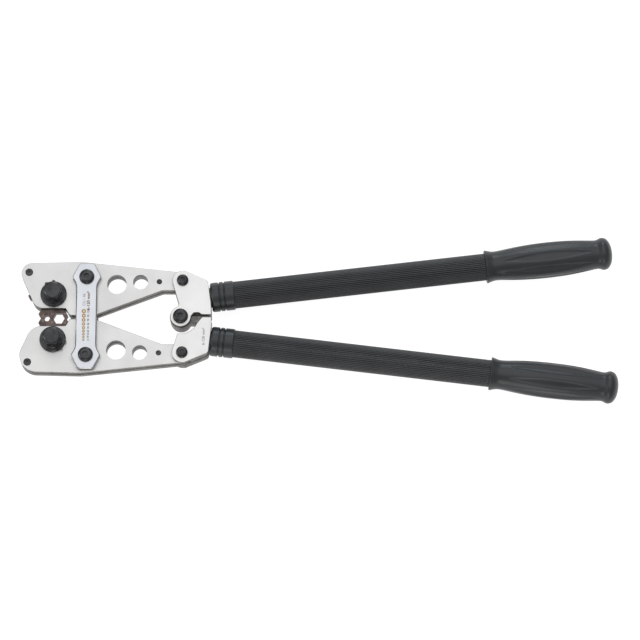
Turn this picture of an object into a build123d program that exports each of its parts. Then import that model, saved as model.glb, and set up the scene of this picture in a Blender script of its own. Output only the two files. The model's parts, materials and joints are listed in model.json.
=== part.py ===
from build123d import *
import math
import os

# A long-handled crimping tool for cable lugs, closed and lying flat.
# Two jaws hang on a pair of link plates, each jaw holds a turnable die wheel,
# and two handles hinged to each other spread the jaw tails to close the dies.
#
# Sizes are in millimetres. While the tool is being built, x runs along it from
# the centre pivot towards the grips, y is the distance from its long axis and z
# is the distance from its middle plane. The lower half mirrors the upper half,
# so every position is given for the upper half.

# ---- layers, from the middle plane outwards
WHEEL_THICK = 7.8
JAW_INNER = 4.0
JAW_OUTER = 9.95
COVER_INNER = 10.0
BRACKET_OUTER = 15.0
LINK_OUTER = 17.0

# ---- pivots
JAW_PIVOT = (-102.4, 43.4)
HANDLE_PIVOT = (1.9, 40.2)
WHEEL_AXIS = (-138.7, 25.2)
BOLT_R = 5.0
HANDLE_BOLT_R = 4.0
PLAY = 0.05
PIVOT_HEAD_R = 8.25
PIVOT_HEAD_H = 5.0
PIVOT_SOCKET = 6.0
PIVOT_NUT = 16.0
PIVOT_NUT_H = 6.0
HANDLE_HEAD_R = 6.35
HANDLE_HEAD_H = 4.0
HANDLE_SOCKET = 5.0
HANDLE_NUT = 13.0
HANDLE_NUT_H = 5.0
BOLT_INSET = 0.5

# ---- jaw plates
JAW_TOP = 60.4
SHOULDER = (-108.0, 62.0)
JAW_GAP = 2.3
TAIL_R = 10.0
THROAT_START = -93.5
THROAT_END = -19.8
WINDOW_Y = 9.9
WINDOW_END = -125.2
WINDOW_STEP = 4.4
NOSE_SLOPE = 65.6
NOSE_LEVEL = 16.0
NOSE_X = {"upper": -160.6, "lower": -164.5}
NOSE_R = {"upper": 11.9, "lower": 18.4}
CHIN_R = {"upper": 13.0, "lower": 17.0}
BIG_HOLE = (-69.9, 36.7)
BIG_HOLE_R = 10.7
SMALL_HOLE = (-44.2, 39.4)
SMALL_HOLE_R = 8.15
TAIL_PIN = (-23.7, 39.8)
TAIL_PIN_R = 3.0
NOSE_SCREW = (-165.9, 50.2)
NOSE_SCREW_R = 2.5
NOSE_HEAD_R = 4.0
NOSE_HEAD_SEAT = 7.0
NOSE_HEAD_TOP = 10.4
NOSE_SPACER_R = 6.0
PIVOT_SPACER_R = 9.0
TAIL_SPACER_R = 8.5
EDGE_BREAK = 0.4

# The bolt of the lower jaw needs this much travel in its plates while the tool
# opens at a steady rate, because the real linkage does not turn at one ratio.
SLOT_TRAVEL = 7.1
SLOT_R = 5.4
SLOT_SIDE = 0.26

# ---- die wheels
WHEEL_APOTHEM = 24.6
NEST_LARGE = 10.4
NEST_SMALL = 5.2
NEST_LARGE_X = 5.8
NEST_SMALL_X = -7.2
# Nests of the other five flats, going round from the active one: (offset, size)
OTHER_NESTS = [
    [(0, 20.0)],
    [(-6.2, 11.0), (7.4, 7.0)],
    [(0, 18.0)],
    [(6.0, 12.0), (-7.4, 8.5)],
    [(0, 16.0)],
]
DRIVE_HEX = 15.0
DETENT_CIRCLE = 17.0
DETENT_ANGLE = 60.0
BALL_R = 1.75
BALL_Z = -4.9
DETENT_R = 3.0
DETENT_END = -16.0
DETENT_MOUTH = -4.2
SPRING_SEAT = -13.0
SPRING_LENGTH = 6.0
SPRING_COIL_R = 1.3
SPRING_WIRE_R = 0.25
SPRING_PITCH = 1.1

# ---- die spindle and what holds it
SPINDLE_FRONT_R = 9.0
SPINDLE_REAR_R = 7.0
SPINDLE_END = -14.5
BOSS_R = 11.0
BOSS_TOP = 17.0
KNOB_HEX = 17.2
KNOB_BASE = 18.0
KNOB_TOP = 32.0
KNOB_FACE_R = 7.9
KNOB_FACE_DROP = 1.2
DISK_R = 14.3
DISK_TOP = 13.2
DISK_EDGE = 0.8
BOSS_EDGE = 0.6
FRONT_GROOVE = (10.2, 13.3, 14.7)
REAR_GROOVE = (6.2, -12.9, -11.6)
REAR_WASHER_R = 10.0
REAR_WASHER_BASE = -11.5

# ---- link plates
LINK_HEX_R = 16.0
LINK_RISE = 15.6
LINK_WAIST = 11.2
LINK_CORNER_R = 4.0
LINK_EDGE_BREAK = 0.9

# ---- handles
HANDLE_START_Y = 20.5
HANDLE_ANGLE = 6.7
LOBE_R = 11.0
CENTRE_LOBE_R = 11.2
CRADLE_R = 19.5
TONGUE_R = 11.8
TANG_R = 11.0
TANG_END = 92.0
TUBE_R = 14.8
TUBE_BORE = 12.3
TUBE_START = 34.8
TUBE_END = 452.0
SLEEVE_START = 32.8
SLEEVE_END = 58.4
SLEEVE_R = 16.1
TUBE_PIN_S = 48.0
TUBE_PIN_R = 3.0
GRIP_START = {"upper": 334.8, "lower": 338.8}
GRIP_LENGTH = 139.9


# ================================================================ helpers
def disc(radius, z0, z1, at=(0, 0)):
    """A round bar between two heights."""
    x, y = at
    bottom = (Align.CENTER, Align.CENTER, Align.MIN)
    return Pos(x, y, z0) * Cylinder(radius, z1 - z0, align=bottom)


def hexagon(across_flats, at=(0, 0), turn=0):
    """A hexagonal face with two corners along x, or turned from there in degrees."""
    x, y = at
    corner_r = across_flats / math.sqrt(3)
    return Pos(x, y, 0) * Rot(0, 0, turn) * RegularPolygon(corner_r, 6)


def thick(face, z0, z1):
    """A flat face thickened between two heights."""
    return extrude(Pos(0, 0, z0) * face, z1 - z0, dir=(0, 0, 1))


def rounded_outline(corners):
    """A closed face with corners (x, y, radius), each rounded by a tangent arc."""
    count = len(corners)
    ends = []
    pieces = []
    for i, (x, y, radius) in enumerate(corners):
        here = Vector(x, y)
        before = Vector(*corners[i - 1][:2])
        after = Vector(*corners[(i + 1) % count][:2])
        into = (here - before).normalized()
        out = (after - here).normalized()
        if radius == 0:
            ends.append((here, here))
            continue
        half_turn = math.radians(into.get_angle(out)) / 2
        inward = (out - into).normalized()
        start = here - into * (radius * math.tan(half_turn))
        end = here + out * (radius * math.tan(half_turn))
        middle = here + inward * (radius / math.cos(half_turn) - radius)
        ends.append((start, end))
        pieces.append(ThreePointArc(start, middle, end))
    for i in range(count):
        start = ends[i][1]
        end = ends[(i + 1) % count][0]
        if (end - start).length > 0.001:
            pieces.append(Line(start, end))
    return make_face(pieces)


def tangent_point(start, centre, radius):
    """Where a line from start touches the circle, passing it on the line's right."""
    to_centre = Vector(*centre) - Vector(*start)
    reach = math.sqrt(to_centre.length**2 - radius**2)
    lift = math.degrees(math.asin(radius / to_centre.length))
    direction = to_centre.normalized().rotate(Axis.Z, lift)
    return Vector(*start) + direction * reach


def outer_edges(solid, z):
    """All edges that lie in the plane at height z."""
    return solid.edges().filter_by_position(Axis.Z, z, z)


def broken_edges(solid, z, width=EDGE_BREAK):
    """The solid with a small chamfer round its face at height z."""
    return chamfer(outer_edges(solid, z), width)


def button_bolt(radius, head_r, head_h, seat, tip, at, socket):
    """A dome-headed socket bolt whose head sits on the height seat."""
    head = disc(head_r, seat, seat + head_h, at)
    head = fillet(head.edges().group_by(Axis.Z)[-1], head_h * 0.72)
    shank = disc(radius, tip, seat, at)
    shank = chamfer(shank.edges().group_by(Axis.Z)[0], 0.6)
    recess = thick(hexagon(socket, at, 30), seat + head_h * 0.4, seat + head_h + 1)
    return head + shank - recess


def pivot_bolt(seat, nut_end, at):
    """The larger bolt, for the jaw pivots and the centre pivot."""
    tip = nut_end + BOLT_INSET
    return button_bolt(BOLT_R, PIVOT_HEAD_R, PIVOT_HEAD_H, seat, tip, at, PIVOT_SOCKET)


def hex_nut(across_flats, bore_r, z0, z1, at):
    """A nut with its corners turned down on both faces."""
    corner_r = across_flats / math.sqrt(3)
    round_blank = disc(corner_r, z0, z1, at)
    round_blank = chamfer(round_blank.edges().filter_by(GeomType.CIRCLE), 0.7)
    blank = thick(hexagon(across_flats, at, 30), z0, z1)
    return (blank & round_blank) - disc(bore_r, z0 - 1, z1 + 1, at)


def along_handle(s):
    """The place on a handle's axis at the distance s from its start."""
    return Pos(0, HANDLE_START_Y, 0) * Rot(0, 0, HANDLE_ANGLE) * Rot(0, 90, 0) * Pos(0, 0, s)


def handle_bar(radius, s0, s1):
    """A round bar on a handle's axis."""
    bottom = (Align.CENTER, Align.CENTER, Align.MIN)
    return along_handle(s0) * Cylinder(radius, s1 - s0, align=bottom)


def turned(profile, s0):
    """A solid turned about a handle's axis from (distance, radius, rounding) corners."""
    face = rounded_outline([(r, s, rounding) for s, r, rounding in profile])
    solid = revolve(Plane.XZ * face, Axis.Z)
    return along_handle(s0) * solid


# ================================================================ link
def link_outline():
    """Six-sided eyes round the two jaw pivots, joined by a narrower waist."""
    x, y = JAW_PIVOT
    half_flat = LINK_HEX_R / 2
    knee = (LINK_HEX_R - LINK_WAIST) * math.sqrt(3)
    right = [
        (half_flat, y + LINK_RISE, LINK_CORNER_R),
        (LINK_HEX_R, y, LINK_CORNER_R),
        (LINK_WAIST, y - knee, 14),
        (LINK_WAIST, knee - y, 14),
        (LINK_HEX_R, -y, LINK_CORNER_R),
        (half_flat, -y - LINK_RISE, LINK_CORNER_R),
    ]
    left = [(-dx, dy, radius) for dx, dy, radius in reversed(right)]
    return rounded_outline([(x + dx, dy, radius) for dx, dy, radius in right + left])


def link_plate():
    """The front link plate with its two bolt holes; the rear one mirrors it."""
    plate = thick(link_outline(), COVER_INNER, LINK_OUTER)
    plate = broken_edges(plate, LINK_OUTER, LINK_EDGE_BREAK)
    x, y = JAW_PIVOT
    for centre in ((x, y), (x, -y)):
        plate -= disc(BOLT_R + PLAY, 0, LINK_OUTER + 1, centre)
    return plate


def link_parts():
    """The link plates and the two jaw pivot bolts with their nuts."""
    plate = link_plate()
    parts = {"link_plate_front": plate, "link_plate_rear": mirror(plate, Plane.XY)}
    nut_end = -LINK_OUTER - PIVOT_NUT_H
    bolt = pivot_bolt(LINK_OUTER, nut_end, JAW_PIVOT)
    nut = hex_nut(PIVOT_NUT, BOLT_R, nut_end, -LINK_OUTER, JAW_PIVOT)
    parts["pivot_bolt_upper"] = bolt
    parts["pivot_nut_upper"] = nut
    parts["pivot_bolt_lower"] = mirror(bolt, Plane.XZ)
    parts["pivot_nut_lower"] = mirror(nut, Plane.XZ)
    return parts


# ================================================================ jaws
def jaw_outline(side):
    """One jaw seen from the front, without its holes."""
    slope = math.tan(math.radians(NOSE_SLOPE))
    nose_top_x = NOSE_X[side] - (JAW_TOP - NOSE_LEVEL) / slope
    chin_x = NOSE_X[side] + (NOSE_LEVEL - WINDOW_Y) / slope
    tail_top = tangent_point(SHOULDER, HANDLE_PIVOT, TAIL_R)
    tail_bottom = HANDLE_PIVOT[1] - TAIL_R
    corners = [
        (nose_top_x, JAW_TOP, NOSE_R[side]),
        (*SHOULDER, 30),
        (tail_top.X, tail_top.Y, 0),
        (HANDLE_PIVOT[0], tail_bottom, 0),
        (THROAT_END, tail_bottom, 9),
        (THROAT_START, JAW_GAP, 3),
        (WINDOW_END + WINDOW_STEP, JAW_GAP, 1.5),
        (WINDOW_END, WINDOW_Y, 2),
        (chin_x, WINDOW_Y, CHIN_R[side]),
    ]
    tail = Pos(*HANDLE_PIVOT, 0) * Circle(TAIL_R)
    return rounded_outline(corners) + tail


def pivot_slot(z0, z1):
    """The oblong clearance that lets the link's bolt travel in the lower jaw."""
    x = JAW_PIVOT[0] + SLOT_SIDE
    first = Pos(x, JAW_PIVOT[1] - 0.5, 0) * Circle(SLOT_R)
    last = Pos(x, JAW_PIVOT[1] - SLOT_TRAVEL, 0) * Circle(SLOT_R)
    middle_y = JAW_PIVOT[1] - (SLOT_TRAVEL + 0.5) / 2
    middle = Pos(x, middle_y, 0) * Rectangle(2 * SLOT_R, SLOT_TRAVEL - 0.5)
    return thick(first + middle + last, z0, z1)


def jaw_pivot_hole(side, z0, z1):
    """The jaw's bore on its link bolt, slotted in the lower jaw."""
    hole = disc(BOLT_R + PLAY, z0, z1, JAW_PIVOT)
    return hole + pivot_slot(z0, z1) if side == "lower" else hole


def detent_place():
    """Where the spring detent bears on the back of the die wheel."""
    angle = math.radians(DETENT_ANGLE)
    x = WHEEL_AXIS[0] + DETENT_CIRCLE * math.cos(angle)
    y = WHEEL_AXIS[1] + DETENT_CIRCLE * math.sin(angle)
    return (x, y)


def jaw_blank(side):
    """A jaw plate with the holes that front and rear plates share."""
    plate = thick(jaw_outline(side), JAW_INNER, JAW_OUTER)
    plate = broken_edges(plate, JAW_OUTER)
    plate -= jaw_pivot_hole(side, 0, 12)
    plate -= disc(HANDLE_BOLT_R + PLAY, 0, 12, HANDLE_PIVOT)
    plate -= disc(TAIL_PIN_R, 0, 12, TAIL_PIN)
    for centre, radius in ((BIG_HOLE, BIG_HOLE_R), (SMALL_HOLE, SMALL_HOLE_R)):
        plate -= disc(radius, 0, 12, centre)
    return plate


def jaw_plate_front(side):
    """The front plate: spindle bore and a counterbore for the nose screw."""
    plate = jaw_blank(side)
    plate -= disc(SPINDLE_FRONT_R + PLAY, 0, 12, WHEEL_AXIS)
    plate -= disc(NOSE_SCREW_R + PLAY, 0, 12, NOSE_SCREW)
    return plate - disc(NOSE_HEAD_R + 0.2, NOSE_HEAD_SEAT, 12, NOSE_SCREW)


def jaw_plate_rear(side):
    """The rear plate, seen as if it were in front: narrower spindle bore, detent hole."""
    plate = jaw_blank(side)
    plate -= disc(SPINDLE_REAR_R + PLAY, 0, 12, WHEEL_AXIS)
    plate -= disc(NOSE_SCREW_R, 0, 12, NOSE_SCREW)
    return plate - disc(DETENT_R, 0, 12, detent_place())


def spacer(outer_r, bore_r, centre):
    """A plain bush between the two plates of a jaw."""
    ring = disc(outer_r, -JAW_INNER, JAW_INNER, centre)
    return ring - disc(bore_r, -JAW_INNER - 1, JAW_INNER + 1, centre)


def pivot_spacer(side):
    """The bush round the jaw pivot, oblong where the lower jaw is slotted."""
    block = disc(PIVOT_SPACER_R, -JAW_INNER, JAW_INNER, JAW_PIVOT)
    if side == "lower":
        end = (JAW_PIVOT[0], JAW_PIVOT[1] - SLOT_TRAVEL)
        block += disc(PIVOT_SPACER_R, -JAW_INNER, JAW_INNER, end)
        middle_y = JAW_PIVOT[1] - SLOT_TRAVEL / 2
        bar = Pos(JAW_PIVOT[0], middle_y, 0) * Rectangle(2 * PIVOT_SPACER_R, SLOT_TRAVEL)
        block += thick(bar, -JAW_INNER, JAW_INNER)
    return block - jaw_pivot_hole(side, -JAW_INNER - 1, JAW_INNER + 1)


def die_wheel():
    """A hexagonal wheel with half-hexagon nests of nine sizes in its six flats."""
    half = WHEEL_THICK / 2
    outline = hexagon(2 * WHEEL_APOTHEM)
    active = [(NEST_LARGE_X, NEST_LARGE), (NEST_SMALL_X, NEST_SMALL)]
    for flat, nests in enumerate([active] + OTHER_NESTS):
        for offset, size in nests:
            nest = hexagon(size, (offset, -WHEEL_APOTHEM))
            outline -= Rot(0, 0, 60 * flat) * nest
    wheel = thick(outline, -half, half)
    wheel -= thick(hexagon(DRIVE_HEX + 0.1), -half - 1, half + 1)
    for step in range(6):
        angle = math.radians(DETENT_ANGLE + 60 * step)
        x = DETENT_CIRCLE * math.cos(angle)
        y = DETENT_CIRCLE * math.sin(angle)
        wheel -= Pos(x, y, BALL_Z) * Sphere(BALL_R + PLAY)
    return Pos(*WHEEL_AXIS, 0) * wheel


def die_spindle():
    """The stepped spindle that turns the wheel, with its hexagonal knob."""
    half = WHEEL_THICK / 2
    spindle = disc(SPINDLE_REAR_R, SPINDLE_END, -half)
    spindle = chamfer(spindle.edges().group_by(Axis.Z)[0], 0.8)
    spindle += thick(hexagon(DRIVE_HEX), -half, half)
    spindle += disc(SPINDLE_FRONT_R, half, COVER_INNER)
    boss = disc(BOSS_R, COVER_INNER, BOSS_TOP)
    spindle += chamfer(boss.edges().group_by(Axis.Z)[-1], BOSS_EDGE)
    spindle += disc(KNOB_HEX / 2, BOSS_TOP, KNOB_BASE)
    for groove_r, z0, z1 in (FRONT_GROOVE, REAR_GROOVE):
        spindle -= disc(2 * BOSS_R, z0, z1) - disc(groove_r, z0 - 1, z1 + 1)
    head = thick(hexagon(KNOB_HEX), KNOB_BASE, KNOB_TOP)
    round_head = disc(KNOB_HEX / math.sqrt(3), KNOB_BASE, KNOB_TOP)
    rim = round_head.edges().group_by(Axis.Z)[-1]
    round_head = chamfer(rim, KNOB_FACE_DROP, KNOB_HEX / math.sqrt(3) - KNOB_FACE_R)
    return Pos(*WHEEL_AXIS, 0) * (spindle + (head & round_head))


def circlip(inner_r, outer_r, ear_r, z0, z1, turn):
    """An open retaining ring with a drilled ear at each end of its gap."""
    ring = disc(outer_r, z0, z1) - disc(inner_r, z0 - 1, z1 + 1)
    ear_angle = 17.5
    gap = Pos(inner_r + ear_r, 0, (z0 + z1) / 2) * Box(2 * ear_r + 4, 4.6, 9)
    ring -= gap
    for sign in (1, -1):
        angle = math.radians(sign * ear_angle)
        place = (outer_r * math.cos(angle), outer_r * math.sin(angle))
        ring += disc(ear_r, z0, z1, place) - disc(inner_r, z0 - 1, z1 + 1)
    for sign in (1, -1):
        angle = math.radians(sign * ear_angle)
        place = (outer_r * math.cos(angle), outer_r * math.sin(angle))
        ring -= disc(ear_r * 0.42, z0 - 1, z1 + 1, place)
    return Pos(*WHEEL_AXIS, 0) * Rot(0, 0, turn) * ring


def spindle_disk():
    """The flat disk under the knob, with its front edge turned down."""
    disk = disc(DISK_R, COVER_INNER, DISK_TOP)
    disk = chamfer(disk.edges().group_by(Axis.Z)[-1], DISK_EDGE)
    return Pos(*WHEEL_AXIS, 0) * (disk - disc(BOSS_R + PLAY, COVER_INNER - 1, DISK_TOP + 1))


def washer(inner_r, outer_r, z0, z1, centre):
    """A flat ring."""
    return disc(outer_r, z0, z1, centre) - disc(inner_r, z0 - 1, z1 + 1, centre)


def nose_screw():
    """A small socket screw let into the front plate, threaded into the rear one."""
    head = disc(NOSE_HEAD_R, NOSE_HEAD_SEAT, NOSE_HEAD_TOP, NOSE_SCREW)
    head = fillet(head.edges().group_by(Axis.Z)[-1], 0.8)
    shank = disc(NOSE_SCREW_R, -JAW_OUTER + BOLT_INSET, NOSE_HEAD_SEAT, NOSE_SCREW)
    recess = thick(hexagon(3.6, NOSE_SCREW, 30), NOSE_HEAD_SEAT + 1.4, 12)
    return head + shank - recess


def detent_body():
    """The threaded sleeve of the spring detent, screwed in from the back."""
    sleeve = disc(DETENT_R, DETENT_END, DETENT_MOUTH, detent_place())
    sleeve = chamfer(sleeve.edges().group_by(Axis.Z)[0], 0.5)
    slot = Pos(*detent_place(), DETENT_END) * Box(7, 1.0, 1.6)
    bore = disc(BALL_R + PLAY, SPRING_SEAT - 0.5, 0, detent_place())
    return sleeve - bore - slot


def detent_spring():
    """The coil that pushes the ball into the dimples of the wheel."""
    coil = Helix(pitch=SPRING_PITCH, height=SPRING_LENGTH, radius=SPRING_COIL_R)
    start = Plane(origin=coil @ 0, z_dir=coil % 0)
    spring = sweep(start * Circle(SPRING_WIRE_R), path=coil, is_frenet=True)
    return Pos(*detent_place(), SPRING_SEAT) * spring


def jaw_parts(side):
    """Everything that turns with one jaw about its link bolt."""
    detent_ball = Pos(*detent_place(), BALL_Z) * Sphere(BALL_R)
    clip_turn = {"upper": 107.5, "lower": 30.0}[side]
    return {
        "jaw_plate_front": jaw_plate_front(side),
        "jaw_plate_rear": jaw_plate_rear(side),
        "nose_spacer": spacer(NOSE_SPACER_R, NOSE_SCREW_R + PLAY, NOSE_SCREW),
        "nose_screw": nose_screw(),
        "tail_pin": disc(TAIL_PIN_R, -JAW_OUTER, JAW_OUTER, TAIL_PIN),
        "pivot_spacer": pivot_spacer(side),
        "tail_spacer": spacer(TAIL_SPACER_R, HANDLE_BOLT_R + PLAY, HANDLE_PIVOT),
        "die_wheel": die_wheel(),
        "die_spindle": die_spindle(),
        "spindle_disk": spindle_disk(),
        "front_circlip": circlip(10.3, 13.4, 1.9, 13.4, 14.6, clip_turn),
        "rear_washer": washer(
            SPINDLE_REAR_R + PLAY, REAR_WASHER_R, REAR_WASHER_BASE, -COVER_INNER, WHEEL_AXIS),
        "rear_circlip": circlip(6.3, 8.6, 1.7, -12.8, -11.7, 90.0),
        "detent_body": detent_body(),
        "detent_spring": detent_spring(),
        "detent_ball": detent_ball,
    }


# ================================================================ handles
def upper_bracket_outline():
    """The bracket that carries the centre pivot's eye."""
    x, y = HANDLE_PIVOT
    waist = (-1.6, 13.2)
    flank = tangent_point(waist, HANDLE_PIVOT, LOBE_R)
    corners = [
        (x, y + LOBE_R, 0),
        (4.6, y + LOBE_R, 3),
        (29.4, 39.9, 4),
        (32.9, 14.4, 30),
        (33.5, 2.2, 0.8),
        (22.8, 2.2, 1.5),
        (19.6, 4.5, 2.5),
        (14.6, 4.3, 3.5),
        (9.2, -2.0, 0),
        (0.0, 0.0, 0),
        (-7.0, 7.2, 0),
        (*waist, 2),
        (flank.X, flank.Y, 0),
    ]
    outline = rounded_outline(corners)
    outline += Pos(x, y, 0) * Circle(LOBE_R)
    return outline + Circle(CENTRE_LOBE_R)


def lower_bracket_outline():
    """The bracket cut away round the centre pivot's eye."""
    x, y = HANDLE_PIVOT
    waist = (-3.0, 19.1)
    flank = tangent_point(waist, HANDLE_PIVOT, LOBE_R)
    corners = [
        (x, y + LOBE_R, 0),
        (4.8, y + LOBE_R, 3),
        (30.2, 40.5, 4),
        (33.5, 12.3, 30),
        (33.5, 0.9, 0.8),
        (23.6, 0.9, 2),
        (17.6, 8.0, 0),
        (*waist, 0),
        (flank.X, flank.Y, 0),
    ]
    outline = rounded_outline(corners)
    outline -= Circle(CRADLE_R)
    return outline + Pos(x, y, 0) * Circle(LOBE_R)


def bracket_plate(side):
    """The front plate of a handle bracket; the rear one mirrors it."""
    outline = upper_bracket_outline() if side == "upper" else lower_bracket_outline()
    plate = thick(outline, COVER_INNER, BRACKET_OUTER)
    plate = broken_edges(plate, BRACKET_OUTER)
    plate -= disc(HANDLE_BOLT_R + PLAY, 0, 20, HANDLE_PIVOT)
    if side == "upper":
        plate -= disc(BOLT_R + PLAY, 0, 20)
    return plate


def core_outline(side):
    """The block between the bracket plates, clear of the jaw's turning tail."""
    if side == "upper":
        corners = [
            (8.0, 47.6, 0),
            (27.6, 38.6, 3),
            (31.0, 14.4, 0),
            (31.6, 3.3, 0),
            (10.0, 3.3, 0),
            (0.5, 10.2, 0),
            (-1.5, 28.4, 0),
        ]
        outline = rounded_outline(corners) - Circle(TONGUE_R + 0.5)
    else:
        corners = [
            (8.0, 47.6, 0),
            (28.4, 39.0, 3),
            (31.6, 12.3, 0),
            (31.6, 2.0, 0),
            (17.6, 8.0, 0),
            (-0.6, 19.4, 0),
            (-1.5, 28.4, 0),
        ]
        outline = rounded_outline(corners) - Circle(CRADLE_R)
    return outline - Pos(*HANDLE_PIVOT, 0) * Circle(TAIL_R + 0.8)


def tongue():
    """The eye of the lower handle, between the upper bracket's plates."""
    neck = Pos(15.0, 2.3, 0) * Rectangle(28.0, 7.0)
    return thick(neck + Circle(TONGUE_R), -JAW_OUTER, JAW_OUTER)


def handle_core(side):
    """The bracket's middle block with the round tang that enters the tube."""
    core = thick(core_outline(side), -COVER_INNER, COVER_INNER)
    tang = handle_bar(TANG_R, 20.0, TANG_END)
    plates_room = Box(68, 200, 60) - Box(70, 200, 2 * COVER_INNER)
    core += tang - plates_room
    if side == "lower":
        core += tongue()
        core -= disc(BOLT_R + PLAY, -COVER_INNER - 1, COVER_INNER + 1)
    return core - tube_pin_hole()


def tube_pin_hole():
    """The cross hole for the pin through tube and tang."""
    return along_handle(TUBE_PIN_S) * Rot(0, 90, 0) * Cylinder(TUBE_PIN_R, 3 * TUBE_R)


def tube_pin():
    """The pin that keeps the tube on its tang, hidden by the rubber sleeve."""
    return along_handle(TUBE_PIN_S) * Rot(0, 90, 0) * Cylinder(TUBE_PIN_R, 2 * TUBE_R - 1.0)


def tube():
    """The long round tube of a handle."""
    shell = handle_bar(TUBE_R, TUBE_START, TUBE_END)
    return shell - handle_bar(TUBE_BORE, TUBE_START - 1, TUBE_END + 1) - tube_pin_hole()


def sleeve():
    """The ribbed rubber sleeve over the front end of the tube."""
    length = SLEEVE_END - SLEEVE_START
    inner = TUBE_R + PLAY
    profile = [
        (0, TANG_R + 0.4, 0),
        (0, SLEEVE_R, 2.6),
        (8.6, SLEEVE_R, 0.3),
        (9.0, SLEEVE_R - 1.2, 0),
        (10.0, SLEEVE_R - 1.2, 0),
        (10.4, SLEEVE_R, 0.3),
        (14.0, SLEEVE_R, 0.3),
        (14.4, SLEEVE_R - 1.2, 0),
        (15.4, SLEEVE_R - 1.2, 0),
        (15.8, SLEEVE_R, 0.3),
        (length, SLEEVE_R, 1.4),
        (length, inner, 0),
        (TUBE_START - SLEEVE_START, inner, 0),
        (TUBE_START - SLEEVE_START, TANG_R + 0.4, 0),
    ]
    return turned(profile, SLEEVE_START)


def grip(side):
    """The rubber grip: a collar, a swelling for the palm and a round end."""
    inner = TUBE_R + PLAY
    pocket = TUBE_END - GRIP_START[side] + 0.5
    profile = [
        (0, inner, 0),
        (0, 17.9, 1.4),
        (5.2, 17.9, 3.0),
        (11.0, 16.1, 8.0),
        (31.0, 17.9, 60),
        (66.0, 19.5, 70),
        (100.0, 18.2, 70),
        (121.5, 15.9, 6.0),
        (127.0, 17.7, 3.0),
        (GRIP_LENGTH, 17.7, 8.5),
        (GRIP_LENGTH, 0, 0),
        (pocket, 0, 0),
        (pocket, inner, 0),
    ]
    return turned(profile, GRIP_START[side])


def handle_parts(side):
    """Everything that turns with one handle."""
    nut_end = -BRACKET_OUTER - HANDLE_NUT_H
    tip = nut_end + BOLT_INSET
    return {
        "bracket_front": bracket_plate(side),
        "bracket_rear": bracket_plate(side),
        "handle_core": handle_core(side),
        "handle_bolt": button_bolt(
            HANDLE_BOLT_R, HANDLE_HEAD_R, HANDLE_HEAD_H, BRACKET_OUTER, tip, HANDLE_PIVOT, HANDLE_SOCKET),
        "handle_nut": hex_nut(HANDLE_NUT, HANDLE_BOLT_R, nut_end, -BRACKET_OUTER, HANDLE_PIVOT),
        "tube_pin": tube_pin(),
        "tube": tube(),
        "tube_sleeve": sleeve(),
        "grip": grip(side),
    }


# ================================================================ whole tool
def placed(solid, side, rear):
    """An upper front piece moved to its own half of the tool and its own face."""
    if side == "lower" and rear:
        return Rot(180, 0, 0) * solid
    if side == "lower":
        return mirror(solid, Plane.XZ)
    return mirror(solid, Plane.XY) if rear else solid


def all_parts():
    """Every piece of the tool by name, placed about the centre pivot."""
    parts = link_parts()
    for side in ("upper", "lower"):
        for name, solid in (jaw_parts(side) | handle_parts(side)).items():
            rear = name in ("jaw_plate_rear", "bracket_rear")
            parts[f"{side}_{name}"] = placed(solid, side, rear)
    nut_end = -BRACKET_OUTER - PIVOT_NUT_H
    parts["centre_bolt"] = pivot_bolt(BRACKET_OUTER, nut_end, (0, 0))
    parts["centre_nut"] = hex_nut(PIVOT_NUT, BOLT_R, nut_end, -BRACKET_OUTER, (0, 0))
    return parts


def main():
    """Write one file per piece, with the origin below the middle of the tool."""
    os.makedirs("parts", exist_ok=True)
    parts = all_parts()
    boxes = [solid.bounding_box() for solid in parts.values()]
    middle_x = (min(box.min.X for box in boxes) + max(box.max.X for box in boxes)) / 2
    middle_y = (min(box.min.Y for box in boxes) + max(box.max.Y for box in boxes)) / 2
    base = min(box.min.Z for box in boxes)
    print("centre pivot at", -middle_x, -middle_y, "middle plane at", -base)
    for name, solid in parts.items():
        solid.locate(Pos(-middle_x, -middle_y, -base) * solid.location)
        export_step(solid, f"parts/{name}.step")


main()
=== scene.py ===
import json
import math

import bpy
from mathutils import Matrix, Vector


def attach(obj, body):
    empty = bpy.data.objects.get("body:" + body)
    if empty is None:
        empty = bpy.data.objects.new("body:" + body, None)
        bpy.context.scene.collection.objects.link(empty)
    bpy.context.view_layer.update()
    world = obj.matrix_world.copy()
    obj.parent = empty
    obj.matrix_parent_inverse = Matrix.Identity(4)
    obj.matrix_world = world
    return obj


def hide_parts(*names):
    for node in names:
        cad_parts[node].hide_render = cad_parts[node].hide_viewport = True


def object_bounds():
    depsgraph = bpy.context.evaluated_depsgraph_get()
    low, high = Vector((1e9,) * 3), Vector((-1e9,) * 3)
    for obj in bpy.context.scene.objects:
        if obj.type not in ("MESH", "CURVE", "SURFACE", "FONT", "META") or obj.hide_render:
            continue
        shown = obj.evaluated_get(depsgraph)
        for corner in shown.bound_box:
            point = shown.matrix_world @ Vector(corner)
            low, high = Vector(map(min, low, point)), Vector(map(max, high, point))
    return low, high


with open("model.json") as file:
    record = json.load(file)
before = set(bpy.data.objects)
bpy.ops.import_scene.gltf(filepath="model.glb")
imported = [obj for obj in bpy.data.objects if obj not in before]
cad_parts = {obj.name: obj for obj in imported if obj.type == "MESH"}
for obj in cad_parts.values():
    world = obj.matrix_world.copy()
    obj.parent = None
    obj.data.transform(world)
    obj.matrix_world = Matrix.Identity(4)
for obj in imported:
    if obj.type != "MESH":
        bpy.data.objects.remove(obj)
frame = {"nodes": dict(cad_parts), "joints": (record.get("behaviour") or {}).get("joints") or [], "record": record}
cad_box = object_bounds()

MM = 0.001
SIDES = {"upper": 1, "lower": -1}

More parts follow.
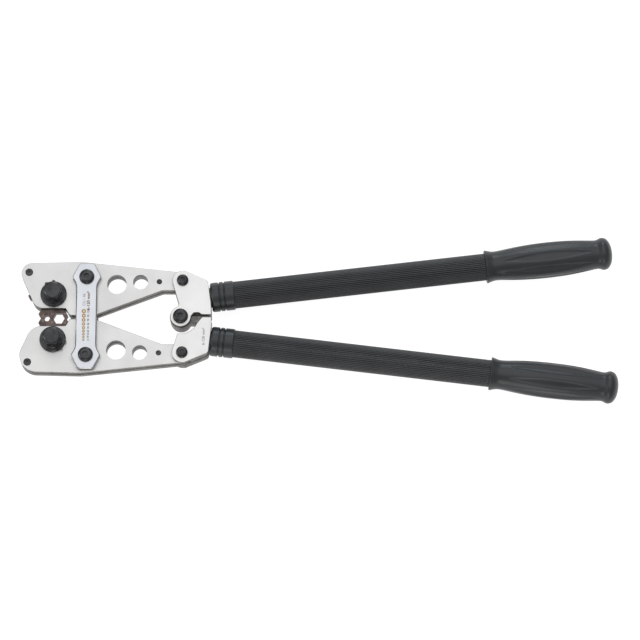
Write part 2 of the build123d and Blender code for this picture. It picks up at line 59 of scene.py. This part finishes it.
# ---- handles, tubes and grips, in millimetres and degrees. A handle starts beside the centre pivot,
# ---- tubes and grips start and end so far along it, and flutes count from the grip's own start.
HANDLE_START_Y = 20.5
HANDLE_ANGLE = 6.7
TUBE_START = 34.8
TUBE_END = 452.0
TUBE_R = 14.8
TUBE_BORE_R = 12.3
RIBS = 44
RIB_DEPTH = 0.8
RIB_FULLNESS = 0.8
RIB_STEPS = 8
TUBE_RINGS = 24

GRIP_START = {"upper": 334.8, "lower": 338.8}
GRIP_LENGTH = 139.9
GRIP_POCKET_R = 14.85
GRIP_POCKET_GAP = 0.5
GRIP_MOUTH_R = 16.0
GRIP_POLE_DIP = 0.05
FLUTES = 8
FLUTE_STEPS = 26
FLUTE_TURN = {"upper": 0.0, "lower": -22.0}
FLUTE_MIDDLE = 69.0
FLUTE_HALF_LENGTH = 50.0
FLUTE_HALF_WIDTH = 5.2
FLUTE_DEPTH = 1.7
FLUTE_END_SHAPE = 0.6
FLUTE_SIDE_SHAPE = 0.8
PROFILE_STEPS = 5

# ---- heights of the marked faces above the middle plane, and the thickness of the marks
LINK_TOP = 17.0
BRACKET_TOP = 15.0
WHEEL_TOP = 3.9
MARK_RISE = 0.06

# ---- the size scale on the link plate: columns and places count across it from its middle line,
# ---- and start and places along it from its middle
SCALE_SIZES = ["6", "10", "16", "25", "35", "50", "70", "95", "120"]
SCALE_START = -28.5
SCALE_GAP = 0.3
HEXAGON_FIRST = 2.2
HEXAGON_GROWTH = 0.3
HEXAGON_LINE = 0.38
HEXAGON_COLUMN = -2.6
NUMBER_COLUMN = 2.4
RANGE_TEXT = "6-120 mm²"
RANGE_PLACE = (2.3, 16.6)
KIND_TEXT = "CU / AL"
KIND_PLACE = (-2.4, 18.0)

# ---- stamps: name, text, and place along and across the tool from the centre pivot
DIE_STAMPS = [
    ("small", "6", -150.2, 3.3),
    ("middle", "16", -140.4, 4.6),
    ("large", "25", -126.6, 4.9),
]
BRACKET_STAMP_PLACE = (25.2, -22.5)

# ---- letters: height and how much their strokes are thickened
NUMBER_STYLE = (2.9, 0.1)
RANGE_STYLE = (4.7, 0.14)
KIND_STYLE = (4.2, 0.06)
DIE_STYLE = (2.6, 0.05)
BRACKET_STYLE = (4.3, 0.08)

# ---- camera: degrees, metres and lens millimetres
CAMERA_ELEVATION = 76.5
CAMERA_DISTANCE = 3.6
CAMERA_ROLL = 0.1
CAMERA_LENS = 185.6
CAMERA_SENSOR = 36.0
CAMERA_REACH = 100
LOOK_AT = (0.0007, -0.0002)

# ---- stage, in metres and watts
FLOOR_HALF = 30.0
FLOOR_DROP = 0.0002
FLOOR_GREY = 0.30
FLOOR_GLOW = 0.9
SKY_STRENGTH = 0.5
LAMPS = [
    ("top_softbox", (0.1, 0.6, 2.2), 2.4, 20, (1.0, 1.0, 1.0)),
    ("left_softbox", (-2.0, -0.3, 1.0), 0.9, 12, (1.0, 1.0, 1.0)),
    ("back_softbox", (0.2, 2.2, 1.0), 1.0, 12, (0.84, 0.93, 1.0)),
    ("front_softbox", (-0.2, -2.2, 0.8), 0.8, 9, (1.0, 0.97, 0.93)),
]

joint_places = {j["name"]: Vector(j["pos_m"]) for j in frame["joints"]}
CENTRE = joint_places["centre_pivot"]
LINK_X = (joint_places["upper_jaw_pivot"].x - CENTRE.x) / MM


# ================================================================ materials
# Scales count the grains of a pattern in a metre.
PLATE_GRAIN = 900
PLATE_CLOUD = 28
EDGE_LAYERS = 60
LAYER_STRETCH = 22
DARK_CLOUD = 100
DARK_TOOTH = 2000
TUBE_STREAK = 60
TUBE_TOOTH = 1800
RUBBER_BLOOM = 22
RUBBER_GRAIN = 1500
ETCH_PATCH = 900

# Nearly all of a noise pattern lies between these two values.
NOISE_LOW = 0.3
NOISE_HIGH = 0.7

# Sockets of the Mix node in its colour mode.
MIX_SHARE = 0
MIX_FIRST = 6
MIX_SECOND = 7
MIX_RESULT = 2


def add(tree, kind, inputs=None, **settings):
    """A shader node with its settings and inputs, given as values or as sockets to link."""
    made = tree.nodes.new("ShaderNode" + kind)
    for name, value in settings.items():
        setattr(made, name, value)
    for name, value in (inputs or {}).items():
        if isinstance(value, bpy.types.NodeSocket):
            tree.links.new(value, made.inputs[name])
        else:
            made.inputs[name].default_value = value
    return made


def finish_material(name, metallic, specular=0.5):
    """A new material's node tree and its Principled shader."""
    material = bpy.data.materials.new(name)
    material.use_nodes = True
    tree = material.node_tree
    surface = tree.nodes["Principled BSDF"]
    surface.inputs["Metallic"].default_value = metallic
    surface.inputs["Specular IOR Level"].default_value = specular
    return material, tree, surface


def noise(tree, scale, detail, stretch=(1, 1, 1)):
    """Noise in the piece's own space, from 0 to 1."""
    mapped = add(tree, "Mapping", {
        "Vector": add(tree, "TexCoord").outputs["Object"],
        "Scale": tuple(scale * share for share in stretch),
    }, vector_type="POINT")
    texture = add(tree, "TexNoise", {
        "Vector": mapped.outputs["Vector"],
        "Scale": 1.0,
        "Detail": detail,
        "Roughness": 0.6,
    })
    return texture.outputs["Fac"]


def remap(tree, value, start, end, low=0.0, high=1.0):
    """The value moved from one range to another, and held inside it."""
    made = add(tree, "MapRange", {
        "Value": value,
        "From Min": start,
        "From Max": end,
        "To Min": low,
        "To Max": high,
    }, clamp=True)
    return made.outputs["Result"]


def varied(tree, pattern, low, high):
    """A noise pattern stretched between two values."""
    return remap(tree, pattern, NOISE_LOW, NOISE_HIGH, low, high)


def colour_mix(tree, share, first, second):
    """A colour between two others; share is a socket, and each colour is one or a triple."""
    made = tree.nodes.new("ShaderNodeMix")
    made.data_type = "RGBA"
    tree.links.new(share, made.inputs[MIX_SHARE])
    for index, value in ((MIX_FIRST, first), (MIX_SECOND, second)):
        if isinstance(value, bpy.types.NodeSocket):
            tree.links.new(value, made.inputs[index])
        else:
            made.inputs[index].default_value = (*value, 1)
    return made.outputs[MIX_RESULT]


def number(tree, operation, first, second):
    """Arithmetic on two numbers or sockets."""
    return add(tree, "Math", {0: first, 1: second}, operation=operation).outputs[0]


def soft_normal(tree, radius):
    """The surface's direction with its edges rounded over the radius, in millimetres."""
    return add(tree, "Bevel", {"Radius": radius * MM}, samples=4).outputs["Normal"]


def edge_mask(tree, normal):
    """Near 1 where a rounded normal leaves the flat one, which is along the edges."""
    flat = add(tree, "NewGeometry").outputs["Normal"]
    same = add(tree, "VectorMath", {0: normal, 1: flat}, operation="DOT_PRODUCT")
    return remap(tree, same.outputs["Value"], 0.995, 0.90)


def side_mask(tree):
    """1 on faces that look sideways, 0 on faces that look up or down."""
    normal = add(tree, "NewGeometry").outputs["Normal"]
    parts = add(tree, "SeparateXYZ", {"Vector": normal})
    level = number(tree, "ABSOLUTE", parts.outputs["Z"], 0.0)
    return remap(tree, level, 0.80, 0.55)


def bumped(tree, surface, height, strength, distance, normal):
    """Puts a bump of that height pattern on top of the normal."""
    made = add(tree, "Bump", {
        "Height": height,
        "Strength": strength,
        "Distance": distance * MM,
        "Normal": normal,
    })
    tree.links.new(made.outputs["Normal"], surface.inputs["Normal"])


def plate_steel(name, light, dark, shaded_side_light, shaded_side_dark, roughness, brush=(1, 1, 1)):
    """Plated sheet steel: grained faces, and sideways faces painted darker as shade, in layered streaks."""
    material, tree, surface = finish_material(name, 1.0)
    grain = noise(tree, PLATE_GRAIN, 3, brush)
    cloud = noise(tree, PLATE_CLOUD, 2)
    half_grain = number(tree, "MULTIPLY", grain, 0.5)
    half_cloud = number(tree, "MULTIPLY", cloud, 0.5)
    shading = number(tree, "ADD", half_grain, half_cloud)
    face = colour_mix(tree, remap(tree, shading, 0.35, 0.65), dark, light)
    layers = noise(tree, EDGE_LAYERS, 3, (1, 1, LAYER_STRETCH))
    # painted shade: faces that look sideways get a much darker colour than the tops, streaked in layers
    side = colour_mix(tree, remap(tree, layers, 0.38, 0.62), shaded_side_dark, shaded_side_light)
    edges = side_mask(tree)
    tree.links.new(colour_mix(tree, edges, face, side), surface.inputs["Base Color"])
    rough = varied(tree, grain, roughness - 0.05, roughness + 0.07)
    tree.links.new(rough, surface.inputs["Roughness"])
    side_layers = number(tree, "MULTIPLY", layers, edges)
    height = number(tree, "ADD", grain, number(tree, "MULTIPLY", side_layers, 3.0))
    bumped(tree, surface, height, 0.25, 0.05, soft_normal(tree, 0.25))
    return material


def dark_steel(name, deep, pale, worn_and_glint, roughness, metallic):
    """Oxidised or bright steel: cloudy colour, fine tooth, and edges painted paler, partly as rubbed wear and
    partly as painted highlight.
    """
    material, tree, surface = finish_material(name, metallic)
    cloud = noise(tree, DARK_CLOUD, 4)
    tooth = noise(tree, DARK_TOOTH, 2)
    body_colour = colour_mix(tree, remap(tree, cloud, 0.35, 0.68), deep, pale)
    rounded = soft_normal(tree, 0.22)
    # edges painted paler: partly rubbed wear, partly painted highlight along the rims
    rub_and_glint = number(tree, "MULTIPLY", edge_mask(tree, rounded), remap(tree, cloud, 0.36, 0.60))
    tree.links.new(colour_mix(tree, rub_and_glint, body_colour, worn_and_glint), surface.inputs["Base Color"])
    rough = varied(tree, tooth, roughness - 0.06, roughness + 0.08)
    tree.links.new(rough, surface.inputs["Roughness"])
    bumped(tree, surface, tooth, 0.2, 0.03, rounded)
    return material


def ribbed_black():
    """Black anodised tube: satin, with paler streaks along it."""
    material, tree, surface = finish_material("tube_anodised", 0.0, 0.55)
    streak = noise(tree, TUBE_STREAK, 3, (0.4, 1, 1))
    tooth = noise(tree, TUBE_TOOTH, 2)
    share = remap(tree, streak, 0.35, 0.7)
    colour = colour_mix(tree, share, (0.004, 0.0056, 0.007), (0.011, 0.0138, 0.0162))
    tree.links.new(colour, surface.inputs["Base Color"])
    tree.links.new(varied(tree, tooth, 0.26, 0.36), surface.inputs["Roughness"])
    bumped(tree, surface, tooth, 0.05, 0.02, add(tree, "NewGeometry").outputs["Normal"])
    return material


def moulded_rubber(name, low, high, roughness):
    """Satin moulded rubber: fine grain and a slight bloom."""
    material, tree, surface = finish_material(name, 0.0, 0.45)
    bloom = noise(tree, RUBBER_BLOOM, 4)
    grain = noise(tree, RUBBER_GRAIN, 3)
    share = remap(tree, bloom, 0.32, 0.68)
    tree.links.new(colour_mix(tree, share, low, high), surface.inputs["Base Color"])
    fine = varied(tree, grain, -0.05, 0.06)
    broad = varied(tree, bloom, roughness, roughness + 0.06)
    tree.links.new(number(tree, "ADD", fine, broad), surface.inputs["Roughness"])
    bumped(tree, surface, grain, 0.35, 0.05, soft_normal(tree, 0.3))
    return material


def etched(name, deep, pale, roughness):
    """Etched or stamped marks: patchy colour, a little rough."""
    material, tree, surface = finish_material(name, 0.35)
    patch = noise(tree, ETCH_PATCH, 3)
    colour = colour_mix(tree, remap(tree, patch, 0.35, 0.65), deep, pale)
    tree.links.new(colour, surface.inputs["Base Color"])
    rough = varied(tree, patch, roughness - 0.08, roughness + 0.1)
    tree.links.new(rough, surface.inputs["Roughness"])
    return material


# painted shade for the sideways faces of the plates, streaked in layers
SHADED_EDGE_LIGHT = (0.19, 0.175, 0.155)
SHADED_EDGE_DARK = (0.028, 0.026, 0.024)

MATERIALS = {
    "jaw_steel": plate_steel(
        "jaw_plate_steel", (0.60, 0.598, 0.592), (0.50, 0.50, 0.498),
        SHADED_EDGE_LIGHT, SHADED_EDGE_DARK, 0.40),
    "link_steel": plate_steel(
        "link_plate_steel", (0.545, 0.56, 0.59), (0.46, 0.475, 0.505),
        (0.27, 0.26, 0.25), (0.08, 0.075, 0.07), 0.33, (1, 0.05, 1)),
    "bracket_steel": plate_steel(
        "bracket_plate_steel", (0.67, 0.67, 0.662), (0.58, 0.58, 0.577),
        SHADED_EDGE_LIGHT, SHADED_EDGE_DARK, 0.42),
    "core_steel": dark_steel(
        "forged_core", (0.10, 0.095, 0.09), (0.22, 0.21, 0.20), (0.42, 0.41, 0.40), 0.45, 0.9),
    "die_steel": dark_steel(
        "die_brown_oxide", (0.065, 0.048, 0.046), (0.18, 0.137, 0.127), (0.36, 0.29, 0.25), 0.40, 0.7),
    "black_oxide": dark_steel(
        "black_oxide_steel", (0.014, 0.015, 0.0165), (0.046, 0.048, 0.051), (0.34, 0.33, 0.32), 0.24, 0.5),
    "spring_steel": dark_steel(
        "bright_spring_wire", (0.40, 0.40, 0.42), (0.60, 0.60, 0.62), (0.75, 0.75, 0.76), 0.25, 1.0),
    "tube_black": ribbed_black(),
    "rubber_black": moulded_rubber(
        "satin_black_rubber", (0.011, 0.0135, 0.0155), (0.020, 0.0235, 0.0265), 0.34),
}
GOLD_ETCH = etched("gold_brown_etch", (0.26, 0.15, 0.05), (0.50, 0.31, 0.12), 0.45)
BROWN_ETCH = etched("brown_etch", (0.10, 0.055, 0.025), (0.26, 0.16, 0.08), 0.45)
DARK_ETCH = etched("dark_etch", (0.09, 0.075, 0.06), (0.22, 0.18, 0.14), 0.5)
GREY_STAMP = etched("grey_stamp", (0.16, 0.155, 0.15), (0.34, 0.33, 0.32), 0.5)
DIE_STAMP = etched("die_stamp", (0.28, 0.19, 0.12), (0.50, 0.38, 0.27), 0.5)


def paint_cad_nodes():
    """Each CAD piece gets the finish of its own material slot."""
    for row in frame["record"]["subparts"]:
        mesh = frame["nodes"][row["node"]].data
        mesh.materials.clear()
        mesh.materials.append(MATERIALS[row["material_slot"]])


# ================================================================ object and mesh helpers
def new_object(name, data):
    """An object of that mesh, curve, lamp or camera, added to the scene."""
    made = bpy.data.objects.new(name, data)
    bpy.context.scene.collection.objects.link(made)
    return made


def handle_space(side):
    """Moves x along, y across and z up from a handle's start to the tool's own space."""
    sign = SIDES[side]
    start = CENTRE + Vector((0, sign * HANDLE_START_Y * MM, 0))
    turn = Matrix.Rotation(math.radians(sign * HANDLE_ANGLE), 4, "Z")
    return Matrix.Translation(start) @ turn


def ring(distance, radii):
    """Points round the x axis; angle 0 looks up and angles grow towards +y."""
    count = len(radii)
    points = []
    for i, radius in enumerate(radii):
        angle = 2 * math.pi * i / count
        points.append(Vector((distance, radius * math.sin(angle), radius * math.cos(angle))) * MM)
    return points


def lofted(name, rings, poles=None):
    """A closed mesh through rings of points, ending in two poles or joined end to end."""
    count = len(rings[0])
    points = [p for one in rings for p in one]
    faces = []
    bands = len(rings) if poles is None else len(rings) - 1
    for band in range(bands):
        here = band * count
        there = ((band + 1) % len(rings)) * count
        for i in range(count):
            after = (i + 1) % count
            faces.append((here + i, here + after, there + after, there + i))
    if poles is not None:
        first, last = len(points), len(points) + 1
        points += [p * MM for p in poles]
        end = (len(rings) - 1) * count
        for i in range(count):
            after = (i + 1) % count
            faces.append((first, after, i))
            faces.append((last, end + i, end + after))
    mesh = bpy.data.meshes.new(name)
    mesh.from_pydata(points, [], faces)
    return mesh


def placed_piece(mesh, matrix, body, material, sharp=40):
    """The mesh as a smooth-shaded piece that rides on a body."""
    mesh.transform(matrix)
    mesh.validate()
    mesh.materials.append(material)
    mesh.polygons.foreach_set("use_smooth", [True] * len(mesh.polygons))
    mesh.set_sharp_from_angle(angle=math.radians(sharp))
    piece = new_object(mesh.name, mesh)
    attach(piece, body)
    return piece


def smooth_line(points, steps):
    """A curve that passes through all the points with no corners between them."""
    line = []
    ends = [points[0]] + list(points) + [points[-1]]
    for i in range(1, len(ends) - 2):
        before, start, end, after = (Vector(p) for p in ends[i - 1:i + 3])
        for step in range(steps):
            t = step / steps
            bend_in = (end - before) / 2
            bend_out = (after - start) / 2
            line.append(
                start * (2 * t**3 - 3 * t**2 + 1)
                + bend_in * (t**3 - 2 * t**2 + t)
                + end * (3 * t**2 - 2 * t**3)
                + bend_out * (t**3 - t**2)
            )
    line.append(Vector(points[-1]))
    return line


# ================================================================ tubes and grips
def ribbed_tube(side):
    """The long tube with fine round ribs along it, and its plain bore."""
    count = RIBS * RIB_STEPS
    ribbed = []
    for i in range(count):
        crest = abs(math.cos(math.pi * i / RIB_STEPS))
        ribbed.append(TUBE_R - RIB_DEPTH * (1 - crest**RIB_FULLNESS))
    plain = [TUBE_BORE_R] * count
    length = TUBE_END - TUBE_START
    rings = [ring(TUBE_START + length * i / TUBE_RINGS, ribbed) for i in range(TUBE_RINGS + 1)]
    rings.append(ring(TUBE_END, plain))
    rings.append(ring(TUBE_START, plain))
    mesh = lofted(f"{side}_ribbed_tube", rings)
    body = f"{side}_handle"
    finish = MATERIALS["tube_black"]
    piece = placed_piece(mesh, handle_space(side), body, finish, sharp=62)
    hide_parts(f"{side}_tube")


def flute_depth(side, along, radius, angle):
    """How far the lens-shaped finger flutes sink below the grip's surface."""
    t = (along - FLUTE_MIDDLE) / FLUTE_HALF_LENGTH
    if abs(t) >= 1:
        return 0.0
    pitch = 2 * math.pi / FLUTES
    turn = angle - math.radians(FLUTE_TURN[side])
    off = turn - pitch * round(turn / pitch)
    lens = 1 - t * t
    across = radius * off / (FLUTE_HALF_WIDTH * lens)
    if abs(across) >= 1:
        return 0.0
    return FLUTE_DEPTH * lens**FLUTE_END_SHAPE * (1 - across * across) ** FLUTE_SIDE_SHAPE


def grip_profile():
    """The grip's outside as (distance, radius) points: flared lip, swelling, bead and end."""
    lip = [(0.0, 16.9), (0.25, 17.8), (1.1, 18.1), (3.4, 17.4)]
    palm = [(7.0, 16.4), (10.0, 16.0), (14.0, 16.1), (18.5, 16.5), (26.0, 17.3), (38.0, 18.4), (52.0, 19.2)]
    heel = [(67.0, 19.5), (86.0, 19.1), (100.0, 18.1), (112.0, 16.8), (118.0, 16.1), (121.5, 15.8)]
    bead = [(124.0, 15.9), (126.2, 16.7), (128.2, 17.5), (130.4, 17.7), (133.0, 17.0)]
    end = [(135.2, 15.5), (137.2, 12.8), (138.8, 9.0), (139.7, 4.3)]
    return smooth_line(lip + palm + heel + bead + end, PROFILE_STEPS)


def fluted_grip(side):
    """The moulded rubber grip with its flutes and the pocket for the tube's end."""
    count = FLUTES * FLUTE_STEPS
    start = GRIP_START[side]
    pocket = TUBE_END - start + GRIP_POCKET_GAP
    rings = [
        ring(start + pocket, [GRIP_POCKET_R] * count),
        ring(start, [GRIP_POCKET_R] * count),
        ring(start, [GRIP_MOUTH_R] * count),
    ]
    for along, radius in grip_profile():
        radii = []
        for i in range(count):
            angle = 2 * math.pi * i / count
            radii.append(radius - flute_depth(side, along, radius, angle))
        rings.append(ring(start + along, radii))
    tip = start + GRIP_LENGTH - GRIP_POLE_DIP
    poles = [Vector((start + pocket, 0, 0)), Vector((tip, 0, 0))]
    mesh = lofted(f"{side}_fluted_grip", rings, poles)
    body = f"{side}_handle"
    finish = MATERIALS["rubber_black"]
    piece = placed_piece(mesh, handle_space(side), body, finish)
    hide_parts(f"{side}_grip")


# ================================================================ marks
def letters(name, text, size, bold):
    """Thin flat letters about the origin, in the plane of x and y, thickened by bold."""
    curve = bpy.data.curves.new(name, "FONT")
    curve.body = text
    curve.size = size * MM
    curve.align_x = "CENTER"
    curve.align_y = "CENTER"
    curve.extrude = MARK_RISE * MM / 2
    curve.offset = bold * MM
    curve.resolution_u = 3
    holder = new_object(name, curve)
    bpy.context.view_layer.update()
    graph = bpy.context.evaluated_depsgraph_get()
    mesh = bpy.data.meshes.new_from_object(holder.evaluated_get(graph))
    mesh.name = name
    bpy.data.objects.remove(holder)
    mesh.materials.clear()
    return mesh


def hexagon_ring(name, across, line):
    """A flat hexagonal frame about the origin, like the size signs on crimping tools."""
    outer_r = across / math.sqrt(3)
    inner_r = outer_r - line
    points = []
    for z in (-0.5, 0.5):
        for radius in (outer_r, inner_r):
            for i in range(6):
                angle = math.radians(60 * i)
                corner = (radius * math.cos(angle), radius * math.sin(angle), z * MARK_RISE)
                points.append(Vector(corner) * MM)
    faces = []
    for i in range(6):
        after = (i + 1) % 6
        faces.append((12 + i, 12 + after, 18 + after, 18 + i))
        faces.append((after, i, 6 + i, 6 + after))
        faces.append((i, after, 12 + after, 12 + i))
        faces.append((6 + after, 6 + i, 18 + i, 18 + after))
    mesh = bpy.data.meshes.new(name)
    mesh.from_pydata(points, [], faces)
    return mesh


def mark(mesh, x, y, z, turn, body, material):
    """A mark laid on a face, at a place measured from the centre pivot."""
    place = CENTRE + Vector((x, y, z + MARK_RISE / 2)) * MM
    matrix = Matrix.Translation(place) @ Matrix.Rotation(math.radians(turn), 4, "Z")
    return placed_piece(mesh, matrix, body, material, sharp=30)


def link_scale():
    """A generic size scale etched along the front link plate."""
    y = SCALE_START
    for i, size in enumerate(SCALE_SIZES):
        across = HEXAGON_FIRST + HEXAGON_GROWTH * i
        y += across * 0.5 + SCALE_GAP
        hexagon_mesh = hexagon_ring(f"scale_hexagon_{size}", across, HEXAGON_LINE * across)
        mark(hexagon_mesh, LINK_X + HEXAGON_COLUMN, y, LINK_TOP, 90, "link", GOLD_ETCH)
        number_mesh = letters(f"scale_number_{size}", size, *NUMBER_STYLE)
        mark(number_mesh, LINK_X + NUMBER_COLUMN, y, LINK_TOP, 90, "link", DARK_ETCH)
        y += across * 0.5 + SCALE_GAP
    x, y = RANGE_PLACE
    range_mesh = letters("scale_range", RANGE_TEXT, *RANGE_STYLE)
    mark(range_mesh, LINK_X + x, y, LINK_TOP, 90, "link", BROWN_ETCH)
    x, y = KIND_PLACE
    kind_mesh = letters("scale_kind", KIND_TEXT, *KIND_STYLE)
    mark(kind_mesh, LINK_X + x, y, LINK_TOP, 90, "link", GREY_STAMP)


def die_stamps():
    """Cable sizes stamped beside the nests that face each other."""
    for side, sign in SIDES.items():
        for name, text, x, y in DIE_STAMPS:
            mesh = letters(f"{side}_die_stamp_{name}", text, *DIE_STYLE)
            mark(mesh, x, sign * y, WHEEL_TOP, 0, f"{side}_jaw", DIE_STAMP)


def bracket_stamp():
    """A generic stamped range on the lower bracket."""
    x, y = BRACKET_STAMP_PLACE
    mesh = letters("bracket_range", RANGE_TEXT, *BRACKET_STYLE)
    mark(mesh, x, y, BRACKET_TOP, 90, "lower_handle", GREY_STAMP)


# ================================================================ stage
def area_light(name, place, size, power, colour):
    """A soft square lamp that looks at the middle of the tool."""
    data = bpy.data.lights.new(name, "AREA")
    data.shape = "SQUARE"
    data.size = size
    data.energy = power
    data.color = colour
    lamp = new_object(name, data)
    lamp.location = place
    lamp.rotation_mode = "QUATERNION"
    lamp.rotation_quaternion = (-Vector(place)).to_track_quat("-Z", "Y")


def studio():
    """A glowing white floor, a white sky and soft lamps above and on three sides."""
    mesh = bpy.data.meshes.new("floor")
    level = cad_box[0].z - FLOOR_DROP
    signs = ((-1, -1), (1, -1), (1, 1), (-1, 1))
    corners = [(x * FLOOR_HALF, y * FLOOR_HALF, level) for x, y in signs]
    mesh.from_pydata(corners, [], [(0, 1, 2, 3)])
    material, _, surface = finish_material("floor_white", 0.0, 0.1)
    surface.inputs["Base Color"].default_value = (FLOOR_GREY, FLOOR_GREY, FLOOR_GREY, 1)
    surface.inputs["Roughness"].default_value = 0.9
    surface.inputs["Emission Color"].default_value = (1.0, 1.0, 1.0, 1)
    surface.inputs["Emission Strength"].default_value = FLOOR_GLOW
    mesh.materials.append(material)
    floor = new_object("floor", mesh)
    world = bpy.data.worlds.new("studio_sky")
    bpy.context.scene.world = world
    world.use_nodes = True
    sky = world.node_tree.nodes["Background"]
    sky.inputs["Color"].default_value = (1.0, 1.0, 1.0, 1)
    sky.inputs["Strength"].default_value = SKY_STRENGTH
    for name, place, size, power, colour in LAMPS:
        area_light(name, place, size, power, colour)


def camera():
    """Looks down on the tool from its lower side, from far away."""
    elevation = math.radians(CAMERA_ELEVATION)
    roll = math.radians(CAMERA_ROLL)
    target = Vector((*LOOK_AT, CENTRE.z))
    back = Vector((0, -math.cos(elevation), math.sin(elevation)))
    data = bpy.data.cameras.new("camera")
    data.sensor_width = CAMERA_SENSOR
    data.lens = CAMERA_LENS
    seen_from = new_object("camera", data)
    seen_from.location = target + back * CAMERA_DISTANCE
    seen_from.rotation_mode = "QUATERNION"
    look = (-back).to_track_quat("-Z", "Y")
    seen_from.rotation_quaternion = look @ Matrix.Rotation(roll, 3, "Z").to_quaternion()
    data.clip_end = CAMERA_REACH
    bpy.context.scene.camera = seen_from


camera()
studio()
paint_cad_nodes()
for side in SIDES:
    ribbed_tube(side)
    fluted_grip(side)
link_scale()
die_stamps()
bracket_stamp()
bpy.context.scene.view_settings.view_transform = "Standard"
